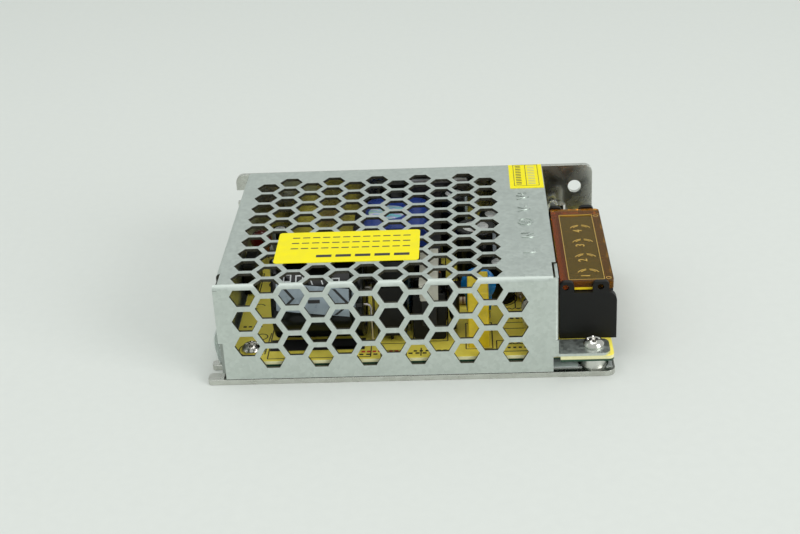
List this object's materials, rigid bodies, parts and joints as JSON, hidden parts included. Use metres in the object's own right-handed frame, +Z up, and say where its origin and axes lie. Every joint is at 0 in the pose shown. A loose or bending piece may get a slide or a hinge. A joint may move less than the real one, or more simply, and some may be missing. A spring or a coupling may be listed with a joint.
{
  "type": "switching power supply",
  "caption": "Open-frame switching power supply: aluminium base, perforated steel cover, filled circuit board and a screw terminal block under an amber flip cover.",
  "frame": {"origin": "centre of the base plate's underside, midway along its length and depth", "axes": "+X along the length, towards the terminal end; +Y towards the plain rear wall; +Z up, out of the base"},
  "size_m": [0.111, 0.078, 0.0301],
  "materials": {
    "base_aluminium": "brushed mill finish",
    "cover_steel": "galvanised, satin spangle",
    "clear_film": "clear thin film",
    "board_laminate": "printed laminate, pale cut edge",
    "bright_steel": "bright plated",
    "black_moulding": "fine matt",
    "tinned_metal": "tinned",
    "amber_plastic": "tinted clear",
    "lamp_lens": "clear water white",
    "white_moulding": "fine matt",
    "blue_moulding": "fine matt",
    "can_sleeve": "shrunk sleeve",
    "blue_tape": "polyester tape",
    "ferrite": "ground ferrite",
    "copper_wire": "enamelled copper",
    "pale_tape": "paper tape",
    "yellow_box": "moulded box",
    "black_epoxy": "moulded epoxy",
    "teal_coating": "dipped",
    "blue_coating": "dipped",
    "red_coating": "dipped",
    "tan_coating": "lacquered",
    "grey_pad": "silicone pad",
    "spring_steel": "bright strip",
    "yellow_label": "printed film"
  },
  "bodies": {
    "case": {"chassis_base": "base_aluminium", "insulation_sheet": "clear_film", "circuit_board": "board_laminate", "board_screws": "bright_steel", "cover_screw": "bright_steel", "perforated_cover": "cover_steel", "cover_label": "yellow_label", "corner_label": "yellow_label", "terminal_block": "black_moulding", "terminal_tongues": "tinned_metal", "terminal_clamps": "tinned_metal", "terminal_screws": "bright_steel", "indicator_lamp": "lamp_lens", "lamp_spacer": "white_moulding", "trimmer_body": "blue_moulding", "main_capacitor": "can_sleeve", "capacitor_leads": "tinned_metal", "transformer_bobbin": "black_moulding", "transformer_winding": "blue_tape", "transformer_core": "ferrite", "choke_bobbin": "black_moulding", "choke_windings": "copper_wire", "choke_core": "ferrite", "choke_tape": "pale_tape", "film_capacitor": "yellow_box", "bridge_rectifier": "black_epoxy", "thermistor": "black_epoxy", "varistor": "teal_coating", "safety_disc_capacitor": "blue_coating", "line_fuse": "white_moulding", "insulating_pads": "grey_pad", "switching_transistor": "black_epoxy", "output_rectifier": "black_epoxy", "device_clip": "spring_steel", "output_capacitors": "can_sleeve", "bias_capacitors": "can_sleeve", "output_choke_core": "ferrite", "output_choke_winding": "copper_wire", "control_chip": "black_epoxy", "optocoupler": "black_epoxy", "resistors": "tan_coating", "diodes": "black_epoxy", "snubber_capacitor": "red_coating", "bias_film_capacitor": "black_epoxy"},
    "terminal_lid": {"terminal_cover": "amber_plastic"},
    "trimmer": {"trimmer_shaft": "bright_steel"}
  },
  "joints": [
    {"name": "lid_hinge", "type": "hinge", "parent": "case", "child": "terminal_lid", "pos_m": [0.0423, -0.0042, 0.0219], "axis": [0, -1, 0], "range_deg": [0, 95]},
    {"name": "trimmer_turn", "type": "hinge", "parent": "case", "child": "trimmer", "pos_m": [0.0453, 0.0312, 0.0135], "axis": [0, 0, 1], "range_deg": [-130, 130]}
  ]
}
